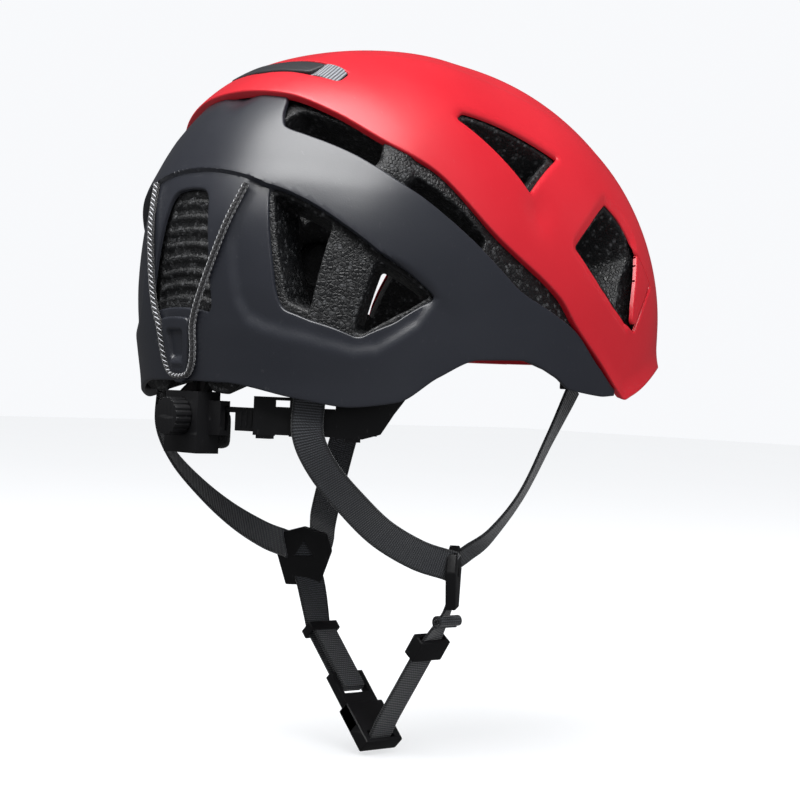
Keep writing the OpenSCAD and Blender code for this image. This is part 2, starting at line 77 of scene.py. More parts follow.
FRONT_VENT = [[52.4, -30.1], [63, -20], [71, -11.5], [72.8, -14.9], [74.9, -19.1],
              [77.4, -26.1], [78.9, -35.3], [78.4, -46], [77, -50.6], [74.9, -51.2],
              [68.9, -52.9], [62.5, -55], [57.5, -57.2], [57.2, -45.6], [54.9, -42.8],
              [53, -37]]
CLIP = [[57.4, -45.5], [57.6, -56.3], [62.4, -54.1], [68.8, -51.9], [74.4, -50.1],
        [76.2, -48.6], [76, -46.9], [72.5, -46], [67.8, -45.6]]
SIDE_VENT = [[23.3, 64.3], [44, 60.5], [54.4, 57.8], [72.4, 49.4], [67.9, 64], [61.6, 74.5],
             [46.9, 80.6], [38.2, 82.9], [35, 81], [28.5, 72.4]]
CROWN_SLOT = [[0, 35.2], [10, 34.9], [20.3, 35.1], [21, 38.5], [14.2, 40], [0, 40.8]]
REAR_WINDOW = [[0, 68.6], [7.2, 68.9], [16, 91], [0, 91.2]]
FOAM_HOLES = [[[39.5, 18.5], [47.3, -8], [57.3, 6], [41, 20.5]],
              [[54, -30.5], [70.4, -13.6], [75.4, -24], [77.2, -35], [76.9, -45.8],
               [57.4, -45.6], [55, -40]],
              [[25, 64.6], [41, 62], [45.5, 79.3], [38.5, 81], [30, 72]],
              [[54.6, 59.4], [70.8, 51], [69, 58], [65.6, 66], [62, 73], [59.4, 74.6]],
              [[15.5, 51.5], [17.2, 47.2], [28, 44.9], [37, 41], [39.8, 44.8],
               [39.5, 48.5], [31, 53], [20, 54.5]],
              [[47.4, 39.6], [57, 33.2], [67.6, 26.8], [70, 29.5], [62.5, 37.5],
               [55, 42.5], [48, 46]]]
RED_CREASE = [[-18.8, 34.8], [-16, 23.2], [-23.1, 6.4], [-29, -12], [-33, -40], [-36, -70]]
GREY_STEP = [[6, 65.1], [-10.7, 64.9], [-16.8, 64.6], [-23.3, 64.3], [-44, 60.5],
             [-54.4, 57.8], [-72.4, 49.4], [-84, 43]]
VENT_DISH = [[17, 60], [30, 56], [54, 50], [73.5, 48], [74.5, 58], [71.9, 66], [68.9, 72.5],
             [62.7, 78.5], [53.8, 83.1], [41.9, 87.8], [35, 89.6], [28.4, 90], [23, 87.2],
             [19.6, 82], [17.3, 76.8]]
GREY_PROFILE = [[40, -4.6], [50, -4.4], [57, -3.6], [63, -2.2], [68, -0.2], [76, 1.4], [86, 1.6],
                [94, 0.4], [100, -1.6], [106, -3.6], [112, -4.4]]
RED_OUT, GREY_OUT, FOAM_OUT, WALL = -0.4, -0.8, -3.2, 2.0     # offsets from the datum surface
FOAM_DEPTH = 24             # thickness of the bead liner
STEP_REACH = 116            # how far round the lower shell's own edges run, in degrees
CORD_RADIUS = 1.6
BUCKLE_AT, BUCKLE_SLOPE = (5, 14, -200), 45.6   # its mouth, and its fall towards the right
PAD_VOXEL, PAD_SWELL = 0.0035, 0.0015       # metres: remesh size, and how far the cloth may move
LENS, STAND_OFF = 93.3, 1.0667              # millimetres; metres from the head's centre


# ---------------------------------------------------------------- shell geometry

def heading(uv):
    """Unit directions for rows of headings."""
    a = np.radians(np.hypot(uv[:, 0], uv[:, 1])).clip(1e-9)
    flat = np.radians(uv) * (np.sin(a) / a)[:, None]
    return np.column_stack([flat, np.cos(a)])


def datum(d):
    """Distance from the head's centre to the helmet's datum surface along each direction."""
    c = d[:, 1] / np.hypot(d[:, 0], d[:, 1]).clip(1e-9)
    m = 2.1 + 0.4 * c + 0.3 * c * c
    plan = ((abs(d[:, 0]) / 109) ** 2.34 + (abs(d[:, 1]) / 141) ** 2.34) ** (1 / 2.34)
    depth = np.where(d[:, 2] >= 0, 132, 250)
    return (plan ** m + (abs(d[:, 2]) / depth) ** m) ** (-1 / m)


def on(uv, offset=0.0):
    """Points over the datum surface at rows of headings."""
    d = heading(np.atleast_2d(np.asarray(uv, float)))
    return d * (datum(d) + offset)[:, None]


def ease(x):
    """Smooth step from 0 to 1."""
    x = np.clip(x, 0, 1)
    return x * x * (3 - 2 * x)


def table_at(phi, table):
    """Smooth value of a two-column table, without overshoot."""
    t = np.array(table, float)
    h, k = np.diff(t[:, 0]), np.diff(t[:, 1]) / np.diff(t[:, 0])
    m = np.zeros(len(t))
    both = k[1:] * k[:-1]
    m[1:-1] = np.where(both > 0, 2 * both / np.where(both > 0, k[1:] + k[:-1], 1), 0)
    i = np.clip(np.searchsorted(t[:, 0], phi) - 1, 0, len(h) - 1)
    s = (phi - t[i, 0]) / h[i]
    return (t[i, 1] * (1 + 2 * s) * (1 - s) ** 2 + t[i + 1, 1] * s * s * (3 - 2 * s)
            + h[i] * (m[i] * s * (1 - s) ** 2 - m[i + 1] * s * s * (1 - s)))


def evenly(points, step, closed=True):
    """Points at even spacing along a polyline."""
    p = np.vstack([points, points[:1]]) if closed else np.array(points, float)
    at = np.concatenate([[0], np.cumsum(np.linalg.norm(np.diff(p, axis=0), axis=1))])
    n = max(int(round(at[-1] / step)), 4)
    s = np.linspace(0, at[-1], n + 1)
    out = np.column_stack([np.interp(s, at, p[:, k]) for k in range(p.shape[1])])
    return out[:-1] if closed else out


def rounded(points, radius=1.5):
    """Closed outline whose corners are drawn as short curves."""
    p, out = np.array(points, float), []
    for i, corner in enumerate(p):
        a, b = p[i - 1] - corner, p[(i + 1) % len(p)] - corner
        ra, rb = (min(radius, np.linalg.norm(e) * 0.45) for e in (a, b))
        a, b = corner + a / np.linalg.norm(a) * ra, corner + b / np.linalg.norm(b) * rb
        for t in np.linspace(0, 1, 7):
            out.append(a * (1 - t) ** 2 + corner * 2 * t * (1 - t) + b * t * t)
    return evenly(out, 0.5)


def both_sides(points, radius=1.5):
    """Rounded outlines of a shape and of its mirror image."""
    return [rounded([[s * u, v] for u, v in points], radius) for s in (-1, 1)]


def across_middle(points, radius=1.5):
    """Outline of a half shape and its mirror image as one loop."""
    return rounded(points + [[-u, v] for u, v in reversed(points) if u > 0], radius)


def edge_line(table, reach=180, offset=0.0):
    """Headings along an edge table, from one side round the rear to the other."""
    phi = np.linspace(-reach, reach, int(reach * 4))
    a = table_at(abs(phi), table) + offset
    return np.column_stack([-a * np.sin(np.radians(phi)), a * np.cos(np.radians(phi))])


def curve(points, step, closed=False):
    """Smooth line through points."""
    p = np.array(points, float)
    q = np.vstack([2 * p[0] - p[1], p, 2 * p[-1] - p[-2]])
    out = []
    for i in range(1, len(q) - 2):
        for t in np.linspace(0, 1, 12, endpoint=False):
            out.append(0.5 * (2 * q[i] + (q[i + 1] - q[i - 1]) * t
                              + (2 * q[i - 1] - 5 * q[i] + 4 * q[i + 1] - q[i + 2]) * t * t
                              + (3 * q[i] - q[i - 1] - 3 * q[i + 1] + q[i + 2]) * t ** 3))
    return evenly(np.array(out + [q[-2]]), step, closed)


def beside(p, line):
    """Millimetres from an open line on the chart, positive to its left."""
    line = np.array(line, float)
    best, sign = np.full(len(p), 1e9), np.ones(len(p))
    for a, b in zip(line[:-1], line[1:]):
        ab = b - a
        t = np.clip(((p - a) @ ab) / (ab @ ab), 0, 1)
        gap = p - a - t[:, None] * ab
        far = np.hypot(gap[:, 0], gap[:, 1])
        cross = ab[0] * gap[:, 1] - ab[1] * gap[:, 0]
        nearer = far < best
        best, sign = np.where(nearer, far, best), np.where(nearer, np.sign(cross), sign)
    return best * sign * DEGREE


def within(p, outline):
    """Millimetres inside a closed outline on the chart, negative outside it."""
    loop = np.vstack([outline, outline[:1]])
    far = abs(beside(p, loop))
    a, b = loop[:-1], loop[1:]
    x, y = p[:, :1], p[:, 1:]
    spans = (a[:, 1] > y) != (b[:, 1] > y)
    slope = (b[:, 0] - a[:, 0]) / np.where(b[:, 1] == a[:, 1], 1, b[:, 1] - a[:, 1])
    hits = spans & (x < a[:, 0] + (y - a[:, 1]) * slope)
    return np.where(hits.sum(axis=1) % 2 == 1, far, -far)


class Chart:
    """Triangles over the headings inside an outline and outside its holes."""

    def __init__(self, outline, holes=(), grid=1.0, radius=0.8, fine=None, lines=()):
        loops = [outline] + list(holes)
        self.loops, self.radius = loops, radius
        normals, points, rows, edges = [], [], [], []
        for i, loop in enumerate(loops):
            ahead = np.roll(loop, -1, axis=0) - np.roll(loop, 1, axis=0)
            turn = np.column_stack([-ahead[:, 1], ahead[:, 0]])
            turn /= np.linalg.norm(turn, axis=1)[:, None].clip(1e-9)
            x, y = loop.T
            area = (x * np.roll(y, -1) - y * np.roll(x, -1)).sum()
            normals.append(turn * np.sign(area) * (1 if i == 0 else -1))
            base = sum(len(p) for p in points)
            edges += [(base + k, base + (k + 1) % len(loop)) for k in range(len(loop))]
            points.append(loop)
            rows.append(np.zeros(len(loop)))
        self.rim, self.inward = np.vstack(points), np.vstack(normals)
        self.tree = kdtree.KDTree(len(self.rim))
        for k, q in enumerate(self.rim):
            self.tree.insert((q[0], q[1], 0), k)
        self.tree.balance()
        for d in ROUND[1:] * radius:
            ring = self.rim + self.inward * (d / DEGREE)
            far, inside = self.depth(ring)
            keep = inside & (far > 0.8 * d / DEGREE)
            points.append(ring[keep])
            rows.append(np.full(keep.sum(), d))
        free = [self.lattice(grid)] + [self.lattice(s, b) for b, s in (fine or [])]
        for line in lines:
            for side in (-0.5, -0.25, 0, 0.25, 0.5):
                free.append(self.shifted(curve(line, 0.6), side))
        free = np.vstack(free)
        far, inside = self.depth(free)
        keep = inside & (far > radius / DEGREE + 0.25)
        points.append(free[keep])
        rows.append(np.full(keep.sum(), FREE))
        points, rows = np.vstack(points), np.concatenate(rows)
        found = geometry.delaunay_2d_cdt([Vector(q) for q in points], edges, [], 0, 1e-5)
        self.uv = np.array([tuple(q) for q in found[0]])
        self.row = np.array([min(rows[k] for k in o) if o else FREE for o in found[3]])
        tri = np.array([f for f in found[2] if len(f) == 3])
        flat = (self.row[tri] == 0).all(axis=1)
        middle = self.uv[tri].mean(axis=1)
        keep = np.ones(len(tri), bool)
        keep[flat] = self.depth(middle[flat])[1]
        self.tri = tri[keep]

    def lattice(self, step, box=None):
        low, high = box or (self.rim.min(axis=0), self.rim.max(axis=0))
        x, y = np.meshgrid(np.arange(low[0], high[0], step),
                           np.arange(low[1], high[1], step * 0.87))
        x = x + (np.arange(len(x)) % 2)[:, None] * step / 2
        return np.column_stack([x.ravel(), y.ravel()])

    def shifted(self, line, side):
        ahead = np.gradient(line, axis=0)
        ahead /= np.linalg.norm(ahead, axis=1)[:, None]
        right = line + np.column_stack([-ahead[:, 1], ahead[:, 0]]) * side
        return np.vstack([right, right * [-1, 1]])

    def depth(self, p):
        """Degrees from the nearest edge, and whether each point is inside the outline."""
        far, inside = np.zeros(len(p)), np.zeros(len(p), bool)
        for k, q in enumerate(p):
            _, i, far[k] = self.tree.find((q[0], q[1], 0))
            inside[k] = (q - self.rim[i]) @ self.inward[i] > 0
        return far, inside

    def to_loop(self, which):
        """Millimetres from each point to one of the loops."""
        tree = kdtree.KDTree(len(self.loops[which]))
        for k, q in enumerate(self.loops[which]):
            tree.insert((q[0], q[1], 0), k)
        tree.balance()
        return np.array([tree.find((q[0], q[1], 0))[2] for q in self.uv]) * DEGREE


def rim_edges(tri):
    """Directed edges that only one triangle uses."""
    seen = {}
    for a, b, c in tri.tolist():
        for e in ((a, b), (b, c), (c, a)):
            seen[e] = True
    return [e for e in seen if (e[1], e[0]) not in seen]


def add_mesh(name, points, faces, body, mat, replaced=(), sharp=40, uv=None):
    """A new piece from points in millimetres, riding on a body."""
    mesh = bpy.data.meshes.new(name)
    mesh.from_pydata((np.asarray(points) * MM).tolist(), [],
                     [tuple(int(k) for k in f) for f in faces])
    if uv is not None:
        layer = mesh.uv_layers.new(name="UVMap")
        loops = np.zeros(len(mesh.loops), int)
        mesh.loops.foreach_get("vertex_index", loops)
        layer.data.foreach_set("uv", np.asarray(uv, float)[loops].ravel())
    mesh.validate()
    obj = bpy.data.objects.new(name, mesh)
    bpy.context.scene.collection.objects.link(obj)
    return settle(obj, body, mat, replaced, sharp)


def settle(obj, body, mat, replaced, sharp=40):
    """Smooth shading, material, slot and body for a new piece."""
    obj.data.polygons.foreach_set("use_smooth", [True] * len(obj.data.polygons))
    obj.data.set_sharp_from_angle(angle=np.radians(sharp))
    obj.data.materials.clear()
    obj.data.materials.append(mat)
    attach(obj, body)
    if replaced:
        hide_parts(*replaced)
    return obj


def skin(name, chart, outer, inner, body, mat, replaced=()):
    """Closed shell over a chart, with rounded edges; outer and inner are offsets."""
    count = len(chart.uv)
    r = chart.radius
    d = chart.row.clip(0, r)
    drop = r - np.sqrt((r * r - (r - d) ** 2).clip(0))
    out = np.broadcast_to(outer, (count,)) - drop
    points = np.vstack([on(chart.uv, out), on(chart.uv, np.broadcast_to(inner, (count,)))])
    tri = chart.tri
    a, b, c = (points[tri[:, k]] for k in range(3))
    facing = ((np.cross(b - a, c - a) * a).sum(axis=1) > 0)
    tri = np.where(facing[:, None], tri, tri[:, ::-1])
    walls = [(j, i, i + count, j + count) for i, j in rim_edges(tri)]
    faces = tri.tolist() + (tri[:, ::-1] + count).tolist() + walls
    return add_mesh(name, points, faces, body, mat, replaced)


# ---------------------------------------------------------------- materials

class Paint:
    """A principled material and short ways to add nodes to it."""

    def __init__(self, name, colour, rough, **sockets):
        self.mat = bpy.data.materials.new(name)
        self.mat.use_nodes = True
        self.tree = self.mat.node_tree
        self.bsdf = self.tree.nodes["Principled BSDF"]
        self.bsdf.inputs["Base Color"].default_value = (*colour, 1)
        self.bsdf.inputs["Roughness"].default_value = rough
        for key, value in sockets.items():
            self.bsdf.inputs[key.replace("_", " ")].default_value = value
        self.place = self.add("ShaderNodeTexCoord").outputs["Object"]
        self.bumped = None

    def add(self, kind, inputs=None, **settings):
        node = self.tree.nodes.new(kind)
        for key, value in settings.items():
            setattr(node, key, value)
        for key, value in (inputs or {}).items():
            if isinstance(value, bpy.types.NodeSocket):
                self.tree.links.new(value, node.inputs[key])
            else:
                node.inputs[key].default_value = value
        return node

    def noise(self, scale, detail=3.0, rough=0.5, where=None):
        return self.add("ShaderNodeTexNoise", {"Vector": where or self.place, "Scale": scale,
                                               "Detail": detail, "Roughness": rough}
                        ).outputs["Fac"]

    def cells(self, scale, feature="F1", output="Distance", spread=1.0, where=None):
        return self.add("ShaderNodeTexVoronoi",
                        {"Vector": where or self.place, "Scale": scale,
                         "Randomness": spread}, feature=feature).outputs[output]

    def math(self, operation, a, b=0.0):
        return self.add("ShaderNodeMath", {0: a, 1: b}, operation=operation).outputs[0]

    def remap(self, value, low, high, to_low, to_high):
        return self.add("ShaderNodeMapRange", {
            "Value": value, "From Min": low, "From Max": high, "To Min": to_low,
            "To Max": to_high}).outputs["Result"]

    def mix(self, factor, a, b):
        node = self.add("ShaderNodeMix", data_type="RGBA")
        for socket, value in ((node.inputs[0], factor), (node.inputs[6], a),
                              (node.inputs[7], b)):
            if isinstance(value, bpy.types.NodeSocket):
                self.tree.links.new(value, socket)
            else:
                socket.default_value = value if isinstance(value, float) else (*value, 1)
        return node.outputs[2]

    def colour(self, socket):
        self.tree.links.new(socket, self.bsdf.inputs["Base Color"])

    def rough(self, socket):
        self.tree.links.new(socket, self.bsdf.inputs["Roughness"])

    def bump(self, height, distance, strength=1.0):
        inputs = {"Height": height, "Distance": distance, "Strength": strength}
        if self.bumped:
            inputs["Normal"] = self.bumped
        self.bumped = self.add("ShaderNodeBump", inputs).outputs["Normal"]
        self.tree.links.new(self.bumped, self.bsdf.inputs["Normal"])


def moulded_plastic(name, colour, rough, grain=900.0, wear=0.06, gloss=0.5):
    """Satin moulded plastic with a fine grain, faint mottling and rubbed scratches."""
    p = Paint(name, colour, rough, Specular_IOR_Level=gloss)
    broad = p.noise(14.0, 4.0)
    fine = p.noise(grain, 2.0, 0.6)
    dark = tuple(c * 0.86 for c in colour)
    light = tuple(min(c * 1.12 + 0.004, 1) for c in colour)
    stretched = p.add("ShaderNodeMapping", {"Vector": p.place, "Rotation": (0.4, 0.9, 0.3),
                                            "Scale": (40.0, 900.0, 300.0)}).outputs[0]
    scratches = p.remap(p.noise(1.0, 2.0, 0.5, stretched), 0.69, 0.76, 0.0, 1.0)
    base = p.mix(broad, dark, light)
    worn = tuple(c * 0.8 + 0.07 for c in colour)
    p.colour(p.mix(p.math("MULTIPLY", scratches, wear * 4), base, worn))
    p.rough(p.math("ADD", p.remap(broad, 0.3, 0.7, rough - 0.04, rough + 0.05),
                   p.remap(fine, 0.3, 0.7, -0.03, 0.03)))
    p.bump(fine, 0.00006, 0.5)
    p.bump(p.noise(90.0, 2.0), 0.0002, 0.25)
    return p.mat


def beaded_foam(name, colour, fleck, scale=330.0, flecks=0.78):
    """Expanded bead foam: pressed beads with creases in painted shade, some of them lighter."""
    p = Paint(name, colour, 0.62, Specular_IOR_Level=0.7)
    edge = p.cells(scale, "DISTANCE_TO_EDGE")
    tone = p.cells(scale, "F1", "Color")
    tone = p.add("ShaderNodeSeparateColor", {0: tone}).outputs[0]
    lit = p.math("MULTIPLY", p.remap(tone, flecks - 0.12, flecks + 0.06, 0.0, 1.0),
                 p.remap(p.cells(scale, "F1"), 0.15, 0.5, 1.0, 0.25))
    # Painted shade: the creases between beads take the colour at 0.6, darker where the beads
    # meet.
    crease = p.remap(edge, 0.0, 0.09, 0.0, 1.0)
    base = p.mix(lit, colour, fleck)
    p.colour(p.mix(crease, tuple(c * 0.6 for c in colour), base))
    p.rough(p.remap(tone, 0.0, 1.0, 0.38, 0.7))
    p.bump(p.remap(edge, 0.0, 0.25, 0.0, 1.0), 0.00025, 0.7)
    p.bump(p.noise(1500.0, 2.0), 0.0001, 0.4)
    return p.mat


def woven_webbing(name, colour, rib=820.0, light=2.1):
    """Flat webbing: fine ribs across and twill lines along with painted highlight on their
    crests and painted shade in their troughs, and darker woven edges.
    """
    p = Paint(name, colour, 0.78, Sheen_Weight=0.35, Sheen_Roughness=0.4)
    uv = p.add("ShaderNodeUVMap", uv_map="UVMap").outputs["UV"]
    split = p.add("ShaderNodeSeparateXYZ", {0: uv})
    along, over = split.outputs["X"], split.outputs["Y"]
    wobble = p.math("MULTIPLY", p.noise(400.0, 2.0), 0.9)
    turns = p.math("ADD", p.math("MULTIPLY", along, rib * TURN), wobble)
    ribs = p.remap(p.math("SINE", turns), -1.0, 1.0, 0.0, 1.0)
    twill = p.math("SINE", p.math("ADD", p.math("MULTIPLY", over, 5200.0),
                                  p.math("MULTIPLY", along, 2600.0)))
    twill = p.remap(twill, -1.0, 1.0, 0.0, 1.0)
    edge = p.remap(p.math("ABSOLUTE", over), 0.0058, 0.0066, 0.0, 1.0)
    fuzz = p.noise(2600.0, 3.0, 0.7)
    # Painted highlight and shade: rib and twill crests take the lighter colour, their troughs
    # the colour at half; the fuzz adds random tone.
    rib_crest_highlight = tuple(min(c * light, 1) for c in colour)
    weave = p.math("MULTIPLY", ribs, p.remap(twill, 0.0, 1.0, 0.55, 1.0))
    weave = p.math("MULTIPLY", weave, p.remap(fuzz, 0.3, 0.7, 0.75, 1.1))
    base = p.mix(weave, tuple(c * 0.5 for c in colour), rib_crest_highlight)
    p.colour(p.mix(edge, base, tuple(c * 0.55 for c in colour)))
    p.bump(ribs, 0.0003, 0.9)
    p.bump(twill, 0.0001, 0.6)
    p.bump(fuzz, 0.00008, 0.5)
    return p.mat


def braided_cord(name):
    """Round elastic cord: a dark braid with pale tracer flecks."""
    p = Paint(name, (0.012, 0.012, 0.014), 0.7, Sheen_Weight=0.3)
    uv = p.add("ShaderNodeUVMap", uv_map="UVMap").outputs["UV"]
    split = p.add("ShaderNodeSeparateXYZ", {0: uv})
    along, turn = split.outputs["X"], split.outputs["Y"]
    left = p.math("SINE", p.math("ADD", p.math("MULTIPLY", along, 2400.0),
                                 p.math("MULTIPLY", turn, 25.13)))
    right = p.math("SINE", p.math("SUBTRACT", p.math("MULTIPLY", along, 2400.0),
                                  p.math("MULTIPLY", turn, 25.13)))
    plait = p.math("MAXIMUM", left, right)
    fleck = p.math("MULTIPLY", p.remap(left, 0.75, 0.9, 0.0, 1.0),
                   p.remap(p.math("SINE", p.math("MULTIPLY", turn, 12.57)), 0.1, 0.4,
                           0.0, 1.0))
    p.colour(p.mix(fleck, (0.012, 0.012, 0.014), (0.62, 0.63, 0.66)))
    p.bump(plait, 0.0002, 0.8)
    return p.mat


def pad_cloth(name, colour):
    """Knitted pad cover with a fine loop pile, painted darker in the gaps between the loops as
    shade.
    """
    p = Paint(name, colour, 0.9, Sheen_Weight=0.12, Sheen_Roughness=0.5)
    loops = p.cells(1300.0, "F1", spread=0.35)
    tone = p.noise(30.0, 4.0)
    base = p.mix(tone, tuple(c * 0.7 for c in colour), tuple(c * 1.6 for c in colour))
    # Painted shade: the low gaps between the loops take the colour at 0.3.
    p.colour(p.mix(p.remap(loops, 0.2, 0.7, 0.0, 1.0), base, tuple(c * 0.3 for c in colour)))
    p.bump(p.remap(loops, 0.0, 0.7, 1.0, 0.0), 0.0003, 0.8)
    p.bump(p.noise(260.0, 3.0), 0.0003, 0.3)
    return p.mat


red = moulded_plastic("red_shell_plastic", (0.47, 0.0055, 0.015), 0.36, 1400.0, gloss=0.7)
grey = moulded_plastic("grey_shell_plastic", (0.0140, 0.0158, 0.0225), 0.33, 1400.0, gloss=1.0)
black = moulded_plastic("black_fitting_plastic", (0.0035, 0.0035, 0.0045), 0.42, 1800.0)
puck_grey = moulded_plastic("crown_inlay_rubber", (0.016, 0.017, 0.020), 0.5, 900.0)
foam = beaded_foam("black_bead_foam", (0.005, 0.0055, 0.0065), (0.06, 0.062, 0.066), 560.0,
                   0.84)
webbing = woven_webbing("dark_webbing", (0.026, 0.028, 0.032))
pale_webbing = woven_webbing("crown_webbing", (0.10, 0.105, 0.115), 620.0, 3.2)
elastic = braided_cord("elastic_braid")
padding = pad_cloth("black_pad_cover", (0.0045, 0.0045, 0.0055))


# ---------------------------------------------------------------- shells and liner

def mirrored_depth(uv, line):
    """Millimetres from a line on the right half, taken on both halves."""
    return beside(np.column_stack([-abs(uv[:, 0]), uv[:, 1]]), line)


def rear_profile(uv):
    """How far the rear of the lower shell swells out of or sinks below the datum."""
    a = np.hypot(uv[:, 0], uv[:, 1])
    return table_at(a, GREY_PROFILE) * ease((uv[:, 1] / a.clip(1e-6) - 0.55) / 0.4)


def liner_surface(uv):
    """Outer offset of the foam: under both shells, level with them on the rib between gaps."""
    offset = np.minimum(FOAM_OUT, GREY_OUT - WALL - 0.4 + rear_profile(uv))
    a = np.hypot(uv[:, 0], uv[:, 1])
    phi = np.degrees(np.arctan2(abs(uv[:, 0]), uv[:, 1]))
    rib = ease((phi - 41.6) / 1.5) * ease((50.2 - phi) / 1.5) * ease((65 - a) / 3)
    return offset * (1 - rib) - 1.9 * rib


def red_surface(uv):
    """Outer offset of the upper shell away from its edges, with the raised centre band."""
    crease = mirrored_depth(uv, RED_CREASE)
    raised = ease(0.5 - crease / 8) * ease((34 - uv[:, 1]) / 14)
    return RED_OUT + 0.7 * raised - 1.0 * ease((-uv[:, 1] - 10) / 40)


def front_clips():
    """Fingers cut free beside the front vents, with a thumb edge at the tip."""
    for s, side in ((1, "left"), (-1, "right")):
        chart = Chart(rounded([[s * u, v] for u, v in CLIP], 0.9), (), 0.7, 0.9)
        uv = chart.uv
        tip = ease((abs(uv[:, 0]) - 72) / 3)
        out = red_surface(uv) + 0.3 * tip
        skin("front_clip_finger_" + side, chart, out, out - WALL, "front_clip_" + side,
             red, ["front_clip_" + side])


def red_shell():
    """Upper shell: a raised centre band, bevelled vents and a turned-out lower edge."""
    outline = evenly(edge_line(RED_EDGE), 0.5)
    holes = [h for v in (UPPER_VENT, FRONT_VENT) for h in both_sides(v, 0.9)]
    chart = Chart(outline, holes + [across_middle(CROWN_SLOT, 1.2)], 0.9, 0.9,
                  lines=[RED_CREASE])
    uv = chart.uv
    offset = red_surface(uv)
    beside_clip = ease((-uv[:, 1] - 43) / 3)
    for k in (3, 4):
        offset -= 1.7 * ease(1 - chart.to_loop(k) / 6.5) * (1 - beside_clip)
    for k in (1, 2):
        offset -= 0.8 * ease(1 - chart.to_loop(k) / 2.5)
    dish = np.hypot(abs(uv[:, 0]) - 64, uv[:, 1] - 4.5) * DEGREE
    offset -= 1.6 * np.exp(-(dish / 11) ** 2)
    low = chart.to_loop(0)
    front = ease((-uv[:, 1] - 20) / 40)
    offset += front * 2.0 * (1 - low / 11).clip(0) ** 2
    inner = RED_OUT - WALL - 2.4 * ease(1 - low / 6) * (1 - front)
    skin("red_upper_shell", chart, offset, inner, "helmet", red,
         ["upper_shell"])


def grey_shell():
    """Lower shell: a raised band above the step and a ridge under the side vent."""
    top = edge_line(GREY_TOP, STEP_REACH)
    rim = edge_line(RIM_EDGE, STEP_REACH)
    outline = rounded(evenly(np.vstack([rim, top[::-1]]), 0.5, True), 0.3)
    holes = both_sides(SIDE_VENT, 2.4) + [across_middle(REAR_WINDOW, 3.0)]
    chart = Chart(outline, holes, 0.9, 0.9, lines=[GREY_STEP])
    uv = chart.uv
    step = mirrored_depth(uv, GREY_STEP)
    soft = 1.2 + 9 * ease((abs(uv[:, 0]) - 52) / 22)
    band = ease(0.5 + step / soft) * ease((84 - abs(uv[:, 0])) / 24)
    right = np.column_stack([abs(uv[:, 0]), uv[:, 1]])
    dish = ease(within(right, VENT_DISH) / 7)
    offset = GREY_OUT + 1.9 * band - 1.9 * dish * (1 - band) + rear_profile(uv)
    top = mirrored_depth(uv, edge_line(GREY_TOP, STEP_REACH)[:2 * STEP_REACH])
    offset -= 2.4 * ease(1 - abs(top) / 17.0) * ease((60 - abs(uv[:, 0])) / 20)
    inner = np.minimum(np.maximum(offset - WALL, liner_surface(uv) + 0.3), offset - 0.8)
    skin("grey_lower_shell", chart, offset, inner, "helmet", grey,
         ["lower_shell"])


def bead_liner():
    """Bead-foam liner with moulded ribs behind the rear window."""
    outline = evenly(edge_line(FOAM_EDGE), 0.6)
    holes = [h for v in FOAM_HOLES for h in both_sides(v, 1.2)]
    chart = Chart(outline, holes, 1.4, 1.4,
                  [(((-17, 67), (17, 93)), 0.4)])
    uv = chart.uv
    ribs = np.cos((uv[:, 1] - 68.5) / 2.62 * 2 * np.pi)
    width = 7 + (uv[:, 1] - 69) * 0.38
    inside = ease((width - abs(uv[:, 0])) / 1.2) * ease((uv[:, 1] - 69) / 1.5)
    inside *= ease((90.5 - uv[:, 1]) / 1.5)
    offset = liner_surface(uv) + inside * (1.1 * ribs.clip(-0.4, 0.75) - 0.6)
    side, front = abs(uv[:, 0]), -uv[:, 1]
    well = ease((side - 52) / 14) * ease((85 - side) / 3)
    offset -= 6.5 * well * ease((front - 40) / 4) * ease((63 - front) / 3)
    skin("bead_foam_liner", chart, offset, FOAM_OUT - FOAM_DEPTH, "helmet", foam,
         ["foam_liner"])


# ---------------------------------------------------------------- webbing and cord

def frames(route, across):
    """Smooth centreline with its width and thickness directions."""
    line = curve(route, 1.0)
    along = np.gradient(line, axis=0)
    along /= np.linalg.norm(along, axis=1)[:, None]
    at = np.linspace(0, 1, len(line))
    keys = np.linspace(0, 1, len(across))
    side = np.column_stack([np.interp(at, keys, np.array(across)[:, k]) for k in range(3)])
    reach = min(10, len(line) // 4)
    padded = np.vstack([side[:1]] * reach + [side] + [side[-1:]] * reach)
    side = np.column_stack([np.convolve(padded[:, k], np.ones(2 * reach + 1), "valid")
                            for k in range(3)])
    side -= (side * along).sum(axis=1)[:, None] * along
    side /= np.linalg.norm(side, axis=1)[:, None]
    return line, side, np.cross(along, side)


def ribbon(name, route, across, replaced=(), width=15.0, thick=1.5, body="helmet",
           mat=None):
    """Flat webbing along a route, slightly thicker at its woven edges."""
    line, side, normal = frames(route, across)
    w, t = width / 2, thick / 2
    profile = [(-w, 0), (-w + 0.25, t * 0.8), (-w + 0.8, t), (-w + 1.7, t * 0.92), (0, t * 0.86),
               (w - 1.7, t * 0.92), (w - 0.8, t), (w - 0.25, t * 0.8)]
    profile += [(-x, -y) for x, y in profile]
    count, n = len(line), len(profile)
    gap = np.linalg.norm(np.diff(line, axis=0), axis=1)
    length = np.concatenate([[0], np.cumsum(gap)])
    points, uv = [], []
    for i in range(count):
        for x, y in profile:
            points.append(line[i] + side[i] * x + normal[i] * y)
            uv.append((length[i] * MM, x * MM))
    faces = [(i * n + k, i * n + (k + 1) % n, (i + 1) * n + (k + 1) % n, (i + 1) * n + k)
             for i in range(count - 1) for k in range(n)]
    faces += [tuple(range(n))[::-1], tuple((count - 1) * n + k for k in range(n))]
    return add_mesh(name, points, faces, body, mat or webbing, replaced, 50, uv)


def sides(points, s):
    """Points of the left side, or of the right one when s is -1."""
    return [[s * p[0], p[1], p[2]] for p in points]


